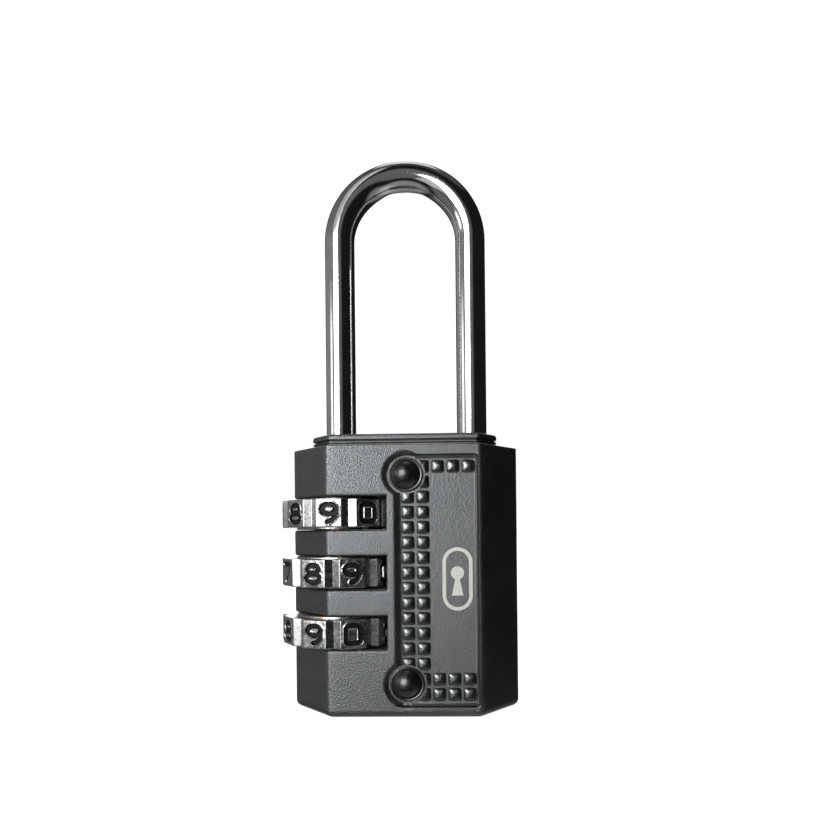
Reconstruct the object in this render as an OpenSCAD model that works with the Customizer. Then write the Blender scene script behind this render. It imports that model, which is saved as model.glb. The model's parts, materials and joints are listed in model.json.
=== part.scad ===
// Resettable three-dial combination padlock with a lifting shackle.
// The frame: +X right, +Y back, +Z up. The origin is the centre of the body's bottom face.
// The dials turn on the axis of the long shackle leg, at the left of the body.

/* [Body] */
// Width of the body
body_w = 30; // [29:0.5:32]
// Thickness of the body, front to back
body_t = 14; // [13.6:0.2:14.6]
// Height of the body, without the raised step on its top
body_h = 34.6; // [34.4:0.2:37]
// Size of the 45 degree bevels on the body's four upright edges
body_bevel = 5.3; // [4.7:0.1:5.5]
// Width of the raised step on the body's top
step_w = 24.6; // [24.4:0.2:27]
// Thickness of the raised step, front to back
step_t = 10; // [9:0.2:11]
// Height of the raised step
step_h = 1.7; // [1.4:0.1:2.4]
// Size of the bevels on the step's upright edges
step_bevel = 2.6; // [1.6:0.2:3]

/* [Front panel] */
// Depth of the recessed panel on the front
panel_depth = 0.5; // [0.3:0.1:0.7]
// Distance between the centres of neighbouring pillow squares
pillow_pitch = 1.92; // [1.85:0.01:1.92]
// Side of one pillow square
pillow_w = 1.68; // [1.4:0.02:1.74]
// Height of the pillow squares above the panel
pillow_h = 0.3; // [0.15:0.05:0.45]

/* [Shackle] */
// Diameter of the shackle's wire
wire_d = 4.2; // [3.8:0.1:4.3]
// Distance between the centres of the two legs
leg_spacing = 17.9; // [17.6:0.1:18.2]
// How far the shackle's middle stands to the right of the body's
shackle_shift = 0.2; // [0:0.05:0.4]
// Clear height inside the closed shackle, above the raised step
clear_h = 33.9; // [20:0.1:60]
// Depth that the short leg reaches into the body when it is closed
toe_depth = 5.3; // [4:0.1:6]

/* [Dials] */
// Diameter over the corners of a dial
dial_d = 16.4; // [15.8:0.1:16.6]
// Thickness of a dial
dial_h = 3.6; // [3.4:0.1:3.8]
// Distance from one dial to the next, which is also the shackle's lift
dial_pitch = 7.6; // [7.6:0.1:7.8]
// Height of the lowest dial's centre
dial_low_z = 10.75; // [10.5:0.05:10.9]
// Width of one flat face of a dial
facet_w = 3.3; // [2.8:0.1:3.6]
// Depth of the finger grooves between the flat faces
groove_depth = 0.65; // [0.4:0.05:0.8]
// Height of the slots that the dials sit in
slot_h = 4.2; // [4:0.1:4.4]
// Distance from the dials' axis to the closed end of the slots
slot_reach = 6.5; // [6:0.1:7]

/* [Locking sleeves] */
// Diameter of a sleeve
sleeve_d = 7.8; // [7.6:0.1:8]
// Width of one coupling tooth
tooth_w = 0.6; // [0.5:0.05:0.7]
// Distance that the sleeves move down to free the dials for a new code
reset_travel = 1.7; // [1.5:0.1:1.7]

/* [Fits] */
// Radial gap of a shaft or sleeve that turns or slides in a bore
run_gap = 0.08; // [0.04:0.01:0.1]
// Radial gap of pins and bushes that are held fast
hold_gap = 0.02; // [0.01:0.01:0.03]

/* [Hidden] */

$fn = 64;
over = 1;            // how far a cutter runs past the face it opens
digit_count = 10;
digit_step = 360 / digit_count;
tooth_count = 2 * digit_count;    // coupling teeth between a dial and its sleeve

// Colours
c_paint = "#26282b";
c_chrome = "#c9cdd1";
c_brass = "#b08d4a";
c_steel = "#8d9298";
c_badge = "#c8c9c4";
c_gloss = "#15161a";

// Heights
step_top = body_h + step_h;
arch_z = step_top + clear_h - (leg_spacing - wire_d) / 2;
toe_z = step_top - toe_depth;
dial_z = [dial_low_z + 2 * dial_pitch, dial_low_z + dial_pitch, dial_low_z];
floor_z = 1.6;

// The dials' axis and radii
axis_x = shackle_shift - leg_spacing / 2;
toe_x = shackle_shift + leg_spacing / 2;
wire_r = wire_d / 2;
dial_r = dial_d / 2;
pocket_r = dial_r + 0.25;

// Angles are in degrees from the front, to the right.
// Two dials rest in their click grooves, and the top one stands about half a step short.
// play is how far each dial and its sleeve have turned from the exact place, within the fins' gaps.
play = [-2.6, 0, 0.6];
face_angle = 16.6;
dial_phase = [face_angle - digit_step / 2 + play[0], face_angle + play[1], face_angle + play[2]];
click_angle = face_angle + 90;

// A low round hub on each side of a dial keeps its faces off the slot's walls
hub_r = 6.2;
hub_gap = 0.08;
hub_h = (slot_h - dial_h) / 2 - hub_gap;

// A sleeve: a skirt that clears the fin, and above it a ring that the fin passes only at its notch
sleeve_r = sleeve_d / 2;
sleeve_h = dial_pitch - 0.05;
sleeve_low = -3.3;
skirt_top = 0.3;
skirt_r = 3.3;
leg_bore_r = wire_r + run_gap;

// Coupling teeth, at the height where the dial has matching slots; the travel takes them out below it
tooth_low = 0.3;
tooth_band = reset_travel - 0.3;
tooth_tip_r = sleeve_r + 0.75;
tooth_gap = 0.12;
dial_teeth_low = 0.2;
dial_relief_r = tooth_tip_r + 0.35;

// The fins on the long leg
fin_r = 3.1;
fin_w = 1.4;
fin_h = 1.5;
fin_low = -3.1;
notch_w = fin_w + 0.4;

// The stack above and below the sleeves
ring_h = 0.4;
well_r = sleeve_r + run_gap;
well_top = dial_z[0] + sleeve_low + dial_pitch;
fin_room_r = 3.4;
fin_room_top = dial_z[0] + fin_low + fin_h + dial_pitch + 0.05;
bush_r = 3;
bush_flange_r = 3.35;
bush_flange_h = 0.6;
bush_top = step_top - 0.3;
seat_h = 0.6;
seat_tube_r = 2.85;
seat_tube_h = 1.6;
leg_low_z = floor_z + 1;
spring_low = floor_z + seat_h;
spring_high = dial_low_z + sleeve_low - ring_h;

// Rivets and dowels
rivet_r = 1.2;
rivet_head_r = 2.2;
rivet_dome_r = 1.85;
rivet_dome_h = 0.95;
rivet_flange_h = 0.3;
rivet_seat_r = 2.45;
rivet_seat = 0.6;    // depth of the round seat under a head
rivet_x = 0.25;
rivet_z = [30.75, 4.25];
dowel_r = 0.8;
dowel_len = 5;
dowel_at = [[4.2, 32.4], [9, 2.4]];

// The recessed panel and its squares
panel_x = [-0.9, 9.15];
panel_z = [1.65, 32.9];
pillow_rows = 16;
pillow_x0 = 0.48;
pillow_z0 = 31.73;
corner_cols = 5;     // squares across in the first row and in the last two rows

// Ribbed hollows that lighten each shell
hollow_w = 4.4;
hollow_h = 10.4;
hollow_depth = 3;
hollow_x = [2.6, 7.8];
hollow_z = [5, 17];

// A click spring is a bent strip that bears on one dial
strip_t = 0.28;
strip_h = 2.8;
click_reach = dial_r - 0.45;   // radius of its ridge when it sits in a groove
click_lift = 0.4;    // how far a dial's face pushes the ridge back
click_back = 9.7;
click_half = 2;
click_room = 10;

emblem_at = [6.7, 17.5];
emblem_w = 3.8;
emblem_h = 8;
emblem_line = 0.45;
emblem_t = 0.1;

// ---------------------------------------------------------------- outlines

// Half of a bevelled rectangle, from the split plane to the front
module half_outline(w, t, bevel) {
    polygon([
        [-w / 2, 0],
        [-w / 2, -t / 2 + bevel],
        [-w / 2 + bevel, -t / 2],
        [w / 2 - bevel, -t / 2],
        [w / 2, -t / 2 + bevel],
        [w / 2, 0]
    ]);
}

// Flat faces with a V groove between each pair; a face is centred on -Y
module dial_outline() {
    half_face = asin(facet_w / 2 / dial_r);
    polygon([
        for (i = [0 : digit_count - 1], corner = [-1, 1, 2])
            let (
                a = i * digit_step - 90 + (corner == 2 ? digit_step / 2 : corner * half_face),
                r = corner == 2 ? dial_r - groove_depth : dial_r
            )
            [r * cos(a), r * sin(a)]
    ]);
}

// A straight bar from the centre out to a radius, repeated round the axis
module spokes(width, reach, height) {
    for (i = [0 : tooth_count - 1]) {
        rotate([0, 0, i * 360 / tooth_count])
            translate([0, -width / 2, 0])
                cube([reach, width, height]);
    }
}

// ---------------------------------------------------------------- body

// Everything that both shells are cut by, apart from their outer faces
module shell_cuts() {
    for (z = dial_z) {
        translate([axis_x, 0, z]) {
            cylinder(r = pocket_r, h = slot_h, center = true);
            translate([-body_w, -body_t, -slot_h / 2])
                cube([body_w + slot_reach, 2 * body_t, slot_h]);
        }
    }
    translate([axis_x, 0, floor_z])
        cylinder(r = well_r, h = well_top + ring_h - floor_z);
    translate([axis_x, 0, floor_z + over])
        cylinder(r = fin_room_r, h = fin_room_top + bush_flange_h - floor_z - over);
    translate([axis_x, 0, fin_room_top])
        cylinder(r = bush_r, h = step_top + over - fin_room_top);
    translate([toe_x, 0, toe_z - 0.3])
        cylinder(r = wire_r + 0.15, h = toe_depth + 0.3 + over);
    for (z = rivet_z) {
        translate([rivet_x, 0, z])
            rotate([90, 0, 0])
                cylinder(r = rivet_r + hold_gap, h = 2 * body_t, center = true);
    }
    for (at = dowel_at) {
        translate([at[0], 0, at[1]])
            rotate([90, 0, 0])
                cylinder(r = dowel_r + hold_gap, h = dowel_len + 0.4, center = true);
    }
    for (x = hollow_x, z = hollow_z) {
        translate([x, -hollow_depth, z])
            cube([hollow_w, 2 * hollow_depth, hollow_h]);
    }
    for (z = rivet_z, side = [-1, 1]) {
        translate([rivet_x, side * body_t / 2, z])
            rotate([90, 0, 0])
                cylinder(r = rivet_seat_r, h = 2 * rivet_seat, center = true);
    }
}

module shell_block() {
    linear_extrude(height = body_h)
        half_outline(body_w, body_t, body_bevel);
    translate([0, 0, body_h])
        linear_extrude(height = step_h)
            half_outline(step_w, step_t, step_bevel);
}

// The squares run down two columns and turn the corner at both ends
module pillows() {
    for (row = [0 : pillow_rows - 1], col = [0 : corner_cols - 1]) {
        is_end = row == 0 || row >= pillow_rows - 2;
        is_clear_of_rivet = col > 0 || (row > 1 && row < pillow_rows - 2);
        if (is_clear_of_rivet && (col < 2 || is_end)) {
            translate([
                pillow_x0 + col * pillow_pitch - pillow_w / 2,
                -body_t / 2 + panel_depth - pillow_h,
                pillow_z0 - row * pillow_pitch - pillow_w / 2
            ])
                cube([pillow_w, pillow_h, pillow_w]);
        }
    }
}

module front_shell() {
    color(c_paint)
        difference() {
            union() {
                difference() {
                    shell_block();
                    translate([panel_x[0], -body_t / 2 - over, panel_z[0]])
                        cube([panel_x[1] - panel_x[0], over + panel_depth, panel_z[1] - panel_z[0]]);
                }
                pillows();
            }
            shell_cuts();
        }
}

module rear_shell() {
    color(c_paint)
        difference() {
            mirror([0, 1, 0])
                shell_block();
            shell_cuts();
            for (z = dial_z) {
                translate([axis_x, 0, z])
                    rotate([0, 0, click_angle - 90])
                        translate([0, -click_half - 0.2, -slot_h / 2])
                            cube([click_room, 2 * click_half + 0.4, slot_h]);
            }
        }
}

// An upright rounded bar, as a flat outline
module round_bar(width, height) {
    square([width, height - width], center = true);
    for (side = [-1, 1])
        translate([0, side * (height - width) / 2])
            circle(d = width);
}

// A keyhole with its round end at the origin, as one outline: the round end's arc, then the foot
module keyhole(width) {
    round_r = 0.22 * width;
    neck = 20;           // half the arc's open angle, where the foot joins it
    arc_steps = 24;
    polygon(concat(
        [
            for (i = [0 : arc_steps])
                let (a = neck - 90 + i * (360 - 2 * neck) / arc_steps)
                [round_r * cos(a), round_r * sin(a)]
        ],
        [[-0.19 * width, -0.75 * width], [0.19 * width, -0.75 * width]]
    ));
}

// A generic keyhole in an upright rounded frame
module emblem() {
    color(c_badge)
        translate([emblem_at[0], -body_t / 2 + panel_depth, emblem_at[1]])
            rotate([90, 0, 0])
                linear_extrude(height = emblem_t) {
                    difference() {
                        round_bar(emblem_w, emblem_h);
                        round_bar(emblem_w - 2 * emblem_line, emblem_h - 2 * emblem_line);
                    }
                    translate([0, 0.2 * emblem_w])
                        keyhole(emblem_w);
                }
}

// Domed head in front, shank through both shells, low clinched head behind
module rivet() {
    cap_r = (pow(rivet_dome_r, 2) + pow(rivet_dome_h, 2)) / (2 * rivet_dome_h);
    seat_y = body_t / 2 - rivet_seat;
    rotate([90, 0, 0]) {
        cylinder(r = rivet_r, h = 2 * seat_y, center = true);
        translate([0, 0, seat_y])
            cylinder(r = rivet_head_r, h = rivet_flange_h);
        translate([0, 0, seat_y + rivet_flange_h])
            intersection() {
                translate([0, 0, rivet_dome_h - cap_r])
                    sphere(r = cap_r);
                cylinder(r = rivet_dome_r, h = rivet_dome_h + over);
            }
        translate([0, 0, -seat_y - rivet_seat])
            cylinder(r1 = rivet_dome_r - 0.3, r2 = rivet_dome_r, h = rivet_seat);
    }
}

module rivets() {
    color(c_gloss)
        for (z = rivet_z) {
            translate([rivet_x, 0, z])
                rivet();
        }
}

module dowel_pins() {
    color(c_steel)
        for (at = dowel_at) {
            translate([at[0], 0, at[1]])
                rotate([90, 0, 0])
                    cylinder(r = dowel_r, h = dowel_len, center = true);
        }
}

// ---------------------------------------------------------------- shackle and its fittings

// A straight leg from its bevelled lower end to the start of the arch
module leg(low) {
    nose = 0.5;
    translate([0, 0, low])
        cylinder(r1 = wire_r - nose, r2 = wire_r, h = nose);
    translate([0, 0, low + nose])
        cylinder(r = wire_r, h = arch_z - low - nose);
}

module shackle() {
    color(c_chrome)
        union() {
            translate([axis_x, 0, 0]) {
                leg(leg_low_z);
                for (z = dial_z) {
                    translate([0, -fin_w / 2, z + fin_low])
                        cube([fin_r, fin_w, fin_h]);
                }
            }
            translate([toe_x, 0, 0])
                leg(toe_z);
            translate([shackle_shift, 0, arch_z])
                rotate([90, 0, 0])
                    rotate_extrude(angle = 180, $fn = 96)
                        translate([leg_spacing / 2, 0])
                            circle(r = wire_r);
        }
}

module shackle_bush() {
    color(c_brass)
        translate([axis_x, 0, fin_room_top])
            difference() {
                union() {
                    cylinder(r = bush_flange_r, h = bush_flange_h);
                    cylinder(r = bush_r - hold_gap, h = bush_top - fin_room_top);
                }
                translate([0, 0, -over])
                    cylinder(r = leg_bore_r, h = bush_top - fin_room_top + 2 * over);
            }
}

// A flat ring on the dials' axis
module flat_ring(outer, inner, low, height) {
    translate([axis_x, 0, low])
        difference() {
            cylinder(r = outer, h = height);
            translate([0, 0, -over])
                cylinder(r = inner, h = height + 2 * over);
        }
}

module thrust_ring() {
    color(c_brass)
        flat_ring(sleeve_r, fin_r + 0.15, well_top, ring_h);
}

module spring_washer() {
    color(c_steel)
        flat_ring(sleeve_r - 0.1, wire_r + 0.2, spring_high, ring_h);
}

module spring_seat() {
    color(c_brass) {
        flat_ring(sleeve_r, leg_bore_r, floor_z, seat_h);
        flat_ring(seat_tube_r, leg_bore_r, floor_z + seat_h, seat_tube_h);
    }
}

// A round-wire compression spring, swept as rings of points along its helix
module reset_spring() {
    coil_r = 3.36;
    strand_r = 0.18;
    turns = 5;
    steps_per_turn = 24;
    sides = 8;
    steps = turns * steps_per_turn;
    low = spring_low + strand_r;
    rise = spring_high - strand_r - low;
    points = [
        for (i = [0 : steps], j = [0 : sides - 1])
            let (
                a = i * 360 / steps_per_turn,
                b = j * 360 / sides,
                r = coil_r + strand_r * cos(b)
            )
            [r * cos(a), r * sin(a), low + rise * i / steps + strand_r * sin(b)]
    ];
    walls = [
        for (i = [0 : steps - 1], j = [0 : sides - 1])
            let (k = (j + 1) % sides)
            [i * sides + j, (i + 1) * sides + j, (i + 1) * sides + k, i * sides + k]
    ];
    first_end = [for (j = [0 : sides - 1]) j];
    last_end = [for (j = [0 : sides - 1]) steps * sides + sides - 1 - j];
    color(c_steel)
        translate([axis_x, 0, 0])
            polyhedron(points = points, faces = concat(walls, [first_end, last_end]));
}

// ---------------------------------------------------------------- dials, sleeves and click springs

module dial(index) {
    color(c_chrome)
        translate([axis_x, 0, dial_z[index]])
            rotate([0, 0, dial_phase[index]])
                difference() {
                    union() {
                        linear_extrude(height = dial_h, center = true)
                            dial_outline();
                        cylinder(r = hub_r, h = dial_h + 2 * hub_h, center = true);
                    }
                    cylinder(r = sleeve_r + run_gap, h = dial_h + over, center = true);
                    translate([0, 0, -dial_h / 2 - over])
                        cylinder(r = dial_relief_r, h = dial_h / 2 + over + dial_teeth_low);
                    translate([0, 0, dial_teeth_low])
                        spokes(tooth_w + 2 * tooth_gap, tooth_tip_r + 0.2, dial_h);
                }
}

module sleeve(index) {
    color(c_brass)
        translate([axis_x, 0, dial_z[index]])
            rotate([0, 0, play[index]])
                difference() {
                    union() {
                        translate([0, 0, sleeve_low])
                            cylinder(r = sleeve_r, h = sleeve_h);
                        translate([0, 0, tooth_low])
                            rotate([0, 0, face_angle])
                                spokes(tooth_w, tooth_tip_r, tooth_band);
                    }
                    translate([0, 0, sleeve_low - over])
                        cylinder(r = leg_bore_r, h = sleeve_h + 2 * over);
                    translate([0, 0, sleeve_low - over])
                        cylinder(r = skirt_r, h = skirt_top - sleeve_low + over);
                    translate([0, -notch_w / 2, 0])
                        cube([skirt_r, notch_w, sleeve_h]);
                }
}

// A strip bent to a ridge that drops into a dial's groove; lift is how far it is pushed back
module click_spring(index, lift) {
    ridge = click_reach + lift;
    bends = [
        [click_back, -click_half],
        [click_back - 0.7, -click_half + 1.1],
        [ridge, -0.12],
        [ridge, 0.12],
        [click_back - 0.7, click_half - 1.1],
        [click_back, click_half]
    ];
    color(c_steel)
        translate([axis_x, 0, dial_z[index]])
            rotate([0, 0, click_angle - 90])
                linear_extrude(height = strip_h, center = true)
                    polygon(concat(
                        bends,
                        [for (i = [len(bends) - 1 : -1 : 0]) [bends[i][0] + strip_t, bends[i][1]]]
                    ));
}

module dial_top() { dial(0); }
module dial_middle() { dial(1); }
module dial_bottom() { dial(2); }
module sleeve_top() { sleeve(0); }
module sleeve_middle() { sleeve(1); }
module sleeve_bottom() { sleeve(2); }
module click_spring_top() { click_spring(0, click_lift); }
module click_spring_middle() { click_spring(1, 0); }
module click_spring_bottom() { click_spring(2, 0); }

front_shell();
rear_shell();
emblem();
rivets();
dowel_pins();
shackle();
shackle_bush();
thrust_ring();
spring_seat();
reset_spring();
spring_washer();
dial_top();
dial_middle();
dial_bottom();
sleeve_top();
sleeve_middle();
sleeve_bottom();
click_spring_top();
click_spring_middle();
click_spring_bottom();
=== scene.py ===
import json
import math

import bmesh
import bpy
import numpy as np
from mathutils import Matrix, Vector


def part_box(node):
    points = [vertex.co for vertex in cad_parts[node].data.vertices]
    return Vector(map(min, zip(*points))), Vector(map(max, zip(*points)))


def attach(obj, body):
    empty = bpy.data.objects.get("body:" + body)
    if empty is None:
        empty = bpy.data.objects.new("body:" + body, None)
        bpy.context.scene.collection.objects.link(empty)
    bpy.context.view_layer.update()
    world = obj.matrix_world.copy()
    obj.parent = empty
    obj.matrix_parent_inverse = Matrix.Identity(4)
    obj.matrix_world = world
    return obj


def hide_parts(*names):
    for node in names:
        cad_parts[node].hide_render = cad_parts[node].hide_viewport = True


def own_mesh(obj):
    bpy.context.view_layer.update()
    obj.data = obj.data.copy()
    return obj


# A three-dial combination padlock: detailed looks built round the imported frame.
# Everything below is in millimetres until a mesh is made, and +X is right, +Y back, +Z up.

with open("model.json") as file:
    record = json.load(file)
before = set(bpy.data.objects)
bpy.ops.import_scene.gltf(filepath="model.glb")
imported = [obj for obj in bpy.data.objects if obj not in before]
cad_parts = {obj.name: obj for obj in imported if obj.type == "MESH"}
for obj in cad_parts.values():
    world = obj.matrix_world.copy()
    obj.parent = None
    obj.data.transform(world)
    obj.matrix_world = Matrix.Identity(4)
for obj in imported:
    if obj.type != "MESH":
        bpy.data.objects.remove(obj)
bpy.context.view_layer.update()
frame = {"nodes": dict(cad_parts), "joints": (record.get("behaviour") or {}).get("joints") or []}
MM = 0.001


def cad(node):
    """A frame node's lowest and highest corners, in millimetres."""
    low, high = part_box(node)
    return np.array(low) / MM, np.array(high) / MM


joints = {joint["name"]: joint for joint in frame["joints"]}

# Body: the shells' box, then the sizes that a box doesn't tell
BODY_HALF = cad("front_shell")[1][0]
FACE_Y = -cad("front_shell")[0][1]           # distance from the split plane to the front face
STEP_TOP = cad("front_shell")[1][2]
STEP_H = 1.7
BODY_TOP = STEP_TOP - STEP_H
BEVEL = 5.3
STEP_HALF = 12.3
STEP_Y = 5.0
STEP_BEVEL = 2.6
CORNER_R = 0.45                              # rounding of the upright edges
EDGE_BAND = 0.12                             # share of a flat side from a corner to the next point
SEAM_R = 0.14                                # rounding where the two shells meet
FOOT_R = 1.0
SHOULDER_R = 0.22
STEP_EDGE_R = 0.45
STEP_FILLET = 0.2
STEP_LINES = ((1.25, 0.11, 0.24), (0.87, 0.17, 0.34))  # grooves: how far below the top, half width, depth

# Dials and the shackle's long leg, which share an axis
DIALS = ("top", "middle", "bottom")
DIAL_AT = {name: np.array(joints[f"dial_{name}_turn"]["pos_m"]) / MM for name in DIALS}
AXIS_X = DIAL_AT["top"][0]
FACES = 10
FACE_STEP = 2 * math.pi / FACES
HUB_H = 0.22                                 # a dial's low hub, on each side
HUB_R = 6.2
DIAL_HALF = 1.8
DIAL_R = 8.2
FACET_HALF = 1.65
GROOVE_DEPTH = 0.65
SLOT_HALF = 2.1
SLOT_END = AXIS_X + 6.5
SLOT_RIM = 0.32                              # rounding of the slots' edges
POCKET_R = DIAL_R + 0.25
WELL_R = 3.98                                # bore of the dials and of the sleeves' well
WIRE_R = cad("shackle")[1][1]
TOE_X = cad("shackle")[1][0] - WIRE_R
ARCH_R = (TOE_X - AXIS_X) / 2
ARCH_X = (TOE_X + AXIS_X) / 2
ARCH_Z = cad("shackle")[1][2] - WIRE_R - ARCH_R
LEG_LOW = cad("shackle")[0][2]
TOE_LOW = STEP_TOP - 5.3                     # end of the short leg

# Rivets, from the box round both
RIVET_X = (cad("rivets")[0][0] + cad("rivets")[1][0]) / 2
RIVET_HEAD_R = (cad("rivets")[1][0] - cad("rivets")[0][0]) / 2
RIVET_Z = (cad("rivets")[1][2] - RIVET_HEAD_R, cad("rivets")[0][2] + RIVET_HEAD_R)
RIVET_SEAT_R = 2.45
RIVET_SEAT = 0.6
FRONT_MOAT = (0.42, 0.1, 0.6)                # sink round a rivet: depth, and its slope's reach in and out
REAR_MOAT = (0.18, 0.05, 0.3)                # of the seat's edge

# The recessed panel and its pillow squares
PANEL_DEPTH = FACE_Y + cad("emblem")[1][1]
PANEL_LEFT = (-1.4, -0.3)                    # a soft edge, from the face to the floor
PANEL_TOP = 33.3
PANEL_RIGHT = 9.52
PANEL_LOW = 1.38
PANEL_CORNER = 0.6
PANEL_WALL = 0.24
BEAD_IN = 0.37                               # a fine raised line inside the panel's wall
BEAD_W = 0.1
BEAD_H = 0.15
BEAD_FADE = 0.8                              # the bead grows to its full height from X = 0 to here
PILLOW_PITCH = 1.92
PILLOW_HALF = 0.84
PILLOW_SUNK = 0.12
PILLOW_FOOT = 0.02
PILLOW_DOME = 0.4
PILLOW_AT = (0.48, 31.73)
PILLOW_ROWS = 16
CORNER_COLS = 5


# ------------------------------------------------------------------ shapes


def smooth(t):
    """0 below 0 and 1 above 1, level at both ends."""
    t = np.clip(t, 0, 1)
    return t * t * (3 - 2 * t)


def ramp(value, start, end):
    """A smooth step of value from 0 at start to 1 at end; the two may come in either order."""
    return smooth((value - start) / (end - start))


def circle(sides):
    """Equally spaced angles all round, in radians."""
    return np.arange(sides) * 2 * math.pi / sides


def loft(name, *parts):
    """One mesh of closed solids. Each part is a list of equal rings, with a flat cap at each end."""
    points, faces = [], []
    for rings in parts:
        rings = np.asarray(rings, float)
        rows, cols = rings.shape[:2]
        start = len(points)
        points.extend(rings.reshape(-1, 3))
        for r in range(rows - 1):
            for c in range(cols):
                a, b = start + r * cols + c, start + r * cols + (c + 1) % cols
                faces.append((a, b, b + cols, a + cols))
        faces.append(tuple(range(start, start + cols)))
        faces.append(tuple(range(start + (rows - 1) * cols, start + rows * cols)))
    mesh = bpy.data.meshes.new(name)
    mesh.from_pydata([tuple(p * MM) for p in points], [], faces)
    work = bmesh.new()
    work.from_mesh(mesh)
    bmesh.ops.recalc_face_normals(work, faces=work.faces)
    work.to_mesh(mesh)
    work.free()
    piece = bpy.data.objects.new(name, mesh)
    bpy.context.scene.collection.objects.link(piece)
    return piece


def drum(x, y, profile, sides=64):
    """Rings of an upright round shape from (radius, z) pairs."""
    turn = circle(sides)
    return [
        np.column_stack([x + r * np.cos(turn), y + r * np.sin(turn), np.full(sides, z)])
        for r, z in profile
    ]


def drum_y(x, z, profile, sides=64):
    """Rings of a round shape that lies along Y, from (radius, y) pairs."""
    turn = circle(sides)
    return [
        np.column_stack([x + r * np.cos(turn), np.full(sides, y), z + r * np.sin(turn)])
        for r, y in profile
    ]


def block(low, high, turned=0.0, about=(0.0, 0.0)):
    """Rings of a box, turned by an angle round an upright axis."""
    corners = [(low[0], low[1]), (high[0], low[1]), (high[0], high[1]), (low[0], high[1])]
    c, s = math.cos(turned), math.sin(turned)
    flat = [(about[0] + x * c - y * s, about[1] + x * s + y * c) for x, y in corners]
    return [[(x, y, z) for x, y in flat] for z in (low[2], high[2])]


def carve(piece, operation, *parts):
    """Joins parts to the piece, or cuts them from it, one after the other."""
    for part in parts:
        tool = loft("tool", part)
        change = piece.modifiers.new(operation, "BOOLEAN")
        change.operation = operation
        change.solver = "MANIFOLD"
        change.object = tool
        graph = bpy.context.evaluated_depsgraph_get()
        changed = bpy.data.meshes.new_from_object(piece.evaluated_get(graph))
        piece.modifiers.clear()
        piece.data = changed
        bpy.data.objects.remove(tool)


def shade(piece, materials, crease=34):
    """Smooth shading up to a crease angle, with flat faces kept flat next to rounded edges."""
    mesh = piece.data
    mesh.materials.clear()
    for material in materials:
        mesh.materials.append(material)
    mesh.shade_smooth()
    mesh.set_sharp_from_angle(angle=math.radians(crease))
    weigh = piece.modifiers.new("even shading", "WEIGHTED_NORMAL")
    weigh.keep_sharp = True


def place(piece, body, slot, *nodes):
    """Makes the piece move with a body and lets it stand for some frame nodes; slot is not used."""
    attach(piece, body)
    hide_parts(*nodes)
    return piece


def points_of(piece):
    """The piece's points in millimetres."""
    mesh = piece.data
    flat = np.empty(len(mesh.vertices) * 3)
    mesh.vertices.foreach_get("co", flat)
    return flat.reshape(-1, 3) / MM


def mask(piece, name, values):
    """Stores one number for each point, which a material reads by name."""
    layer = piece.data.attributes.new(name, "FLOAT", "POINT")
    layer.data.foreach_set("value", np.asarray(values, np.float32))


# ------------------------------------------------------------------ materials


def maths(tree, operation, a, b):
    """One Math node; a and b are sockets or numbers."""
    node = tree.nodes.new("ShaderNodeMath")
    node.operation = operation
    for socket, value in zip(node.inputs, (a, b)):
        if isinstance(value, (int, float)):
            socket.default_value = value
        else:
            tree.links.new(value, socket)
    return node.outputs[0]


class Finish:
    """A Principled material, with short calls for the nodes that feed it."""

    def __init__(self, name, **values):
        self.material = bpy.data.materials.new(name)
        self.material.use_nodes = True
        self.nodes = self.material.node_tree.nodes
        self.links = self.material.node_tree.links
        self.surface = self.nodes["Principled BSDF"]
        for key, value in values.items():
            socket = self.surface.inputs[key.replace("_", " ")]
            socket.default_value = (*value, 1) if isinstance(value, tuple) else value
        self.place = self.nodes.new("ShaderNodeTexCoord").outputs["Object"]

    def put(self, socket, value):
        """Links a value to one of the surface's sockets."""
        self.links.new(value, self.surface.inputs[socket])

    def noise(self, size_mm, detail=2.0, stretch=(1, 1, 1), distortion=0.0):
        """Noise whose features are about size_mm across, stretched along the axes."""
        spread = self.nodes.new("ShaderNodeMapping")
        spread.inputs["Scale"].default_value = [1 / (s * size_mm * MM) for s in stretch]
        self.links.new(self.place, spread.inputs["Vector"])
        node = self.nodes.new("ShaderNodeTexNoise")
        node.inputs["Scale"].default_value = 1
        node.inputs["Detail"].default_value = detail
        node.inputs["Distortion"].default_value = distortion
        self.links.new(spread.outputs["Vector"], node.inputs["Vector"])
        return node.outputs["Fac"]

    def remap(self, value, low, high, to_low, to_high):
        """Moves a range of value to another one, held at its ends."""
        node = self.nodes.new("ShaderNodeMapRange")
        for index, number in enumerate((low, high, to_low, to_high)):
            node.inputs[index + 1].default_value = number
        self.links.new(value, node.inputs[0])
        return node.outputs[0]

    def maths(self, operation, a, b):
        """A Math node in this material."""
        return maths(self.material.node_tree, operation, a, b)

    def mix(self, share, first, second):
        """A colour between two, each of them a colour or another mix."""
        node = self.nodes.new("ShaderNodeMix")
        node.data_type = "RGBA"
        self.links.new(share, node.inputs["Factor"])
        for socket, colour in ((node.inputs[6], first), (node.inputs[7], second)):
            if isinstance(colour, tuple):
                socket.default_value = (*colour, 1)
            else:
                self.links.new(colour, socket)
        return node.outputs[2]

    def stored(self, name):
        """A number that mask() stored on the mesh."""
        node = self.nodes.new("ShaderNodeAttribute")
        node.attribute_name = name
        return node.outputs["Fac"]

    def bump(self, *layers):
        """Relief from (height, depth_mm, strength) layers, one on top of the other."""
        below = None
        for height, depth, strength in layers:
            node = self.nodes.new("ShaderNodeBump")
            node.inputs["Distance"].default_value = depth * MM
            node.inputs["Strength"].default_value = strength
            self.links.new(height, node.inputs["Height"])
            if below is not None:
                self.links.new(below, node.inputs["Normal"])
            below = node.outputs["Normal"]
        self.put("Normal", below)


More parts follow.
